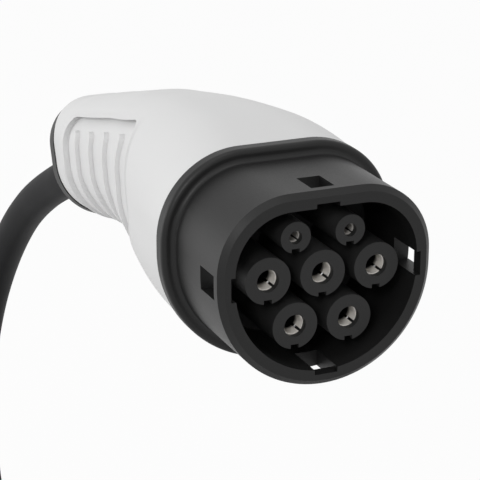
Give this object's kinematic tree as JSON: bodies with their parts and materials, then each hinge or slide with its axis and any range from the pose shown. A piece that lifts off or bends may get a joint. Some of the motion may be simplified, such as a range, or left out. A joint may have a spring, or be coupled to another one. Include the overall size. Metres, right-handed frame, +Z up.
{
  "type": "ev charging cable",
  "caption": "Electric vehicle charging cable with a light handled socket connector, black keyed nose, long thick cable put away in a coil, and a matching pin plug.",
  "frame": {"origin": "centre of the protective earth contact's mouth, in the connector's face", "axes": "+X out of the mating face, towards the vehicle; +Z up, towards the handle's top; +Y to the connector's left"},
  "size_m": [0.5016, 0.2676, 0.3541],
  "materials": {
    "black_plastic": "fine textured black moulding",
    "inner_plastic": "plain dark moulding",
    "seal_rubber": "soft matt",
    "white_plastic": "fine textured light grey white",
    "steel": "plain",
    "contact_metal": "silver plated copper alloy",
    "resistor": "lacquered",
    "wire_green": "smooth insulation, green and yellow in the real cable",
    "wire_brown": "smooth insulation",
    "wire_black": "smooth insulation",
    "wire_grey": "smooth insulation",
    "wire_blue": "smooth insulation",
    "cable_jacket": "satin jacket",
    "strap": "woven hook and loop strap"
  },
  "bodies": {
    "root": {"nose_shroud": "black_plastic", "nose_seal": "seal_rubber", "contact_retainer": "inner_plastic", "retainer_screws": "steel", "end_cap": "black_plastic", "clamp_saddle": "inner_plastic", "clamp_screws": "steel", "coding_resistor": "resistor", "contact_carrier": "black_plastic", "contact_towers": "black_plastic", "contact_pe": "contact_metal", "contact_l1": "contact_metal", "contact_n": "contact_metal", "contact_l2": "contact_metal", "contact_l3": "contact_metal", "contact_cp": "contact_metal", "contact_pp": "contact_metal", "contact_springs": "steel", "wire_pe": "wire_green", "wire_l1": "wire_brown", "wire_n": "wire_blue", "wire_l2": "wire_black", "wire_l3": "wire_grey", "wire_cp": "wire_black", "handle_shell": "white_plastic", "plug_nose_shroud": "black_plastic", "plug_nose_seal": "seal_rubber", "plug_contact_retainer": "inner_plastic", "plug_retainer_screws": "steel", "plug_end_cap": "black_plastic", "plug_clamp_saddle": "inner_plastic", "plug_clamp_screws": "steel", "plug_coding_resistor": "resistor", "plug_pin_carrier": "black_plastic", "plug_power_pins": "contact_metal", "plug_signal_pins": "contact_metal", "plug_pin_tips": "black_plastic", "plug_conductors": "wire_black", "plug_handle_shell": "white_plastic", "cable_lead": "cable_jacket", "cable_coil": "cable_jacket", "coil_ties": "strap", "cable_tail": "cable_jacket"}
  },
  "joints": []
}
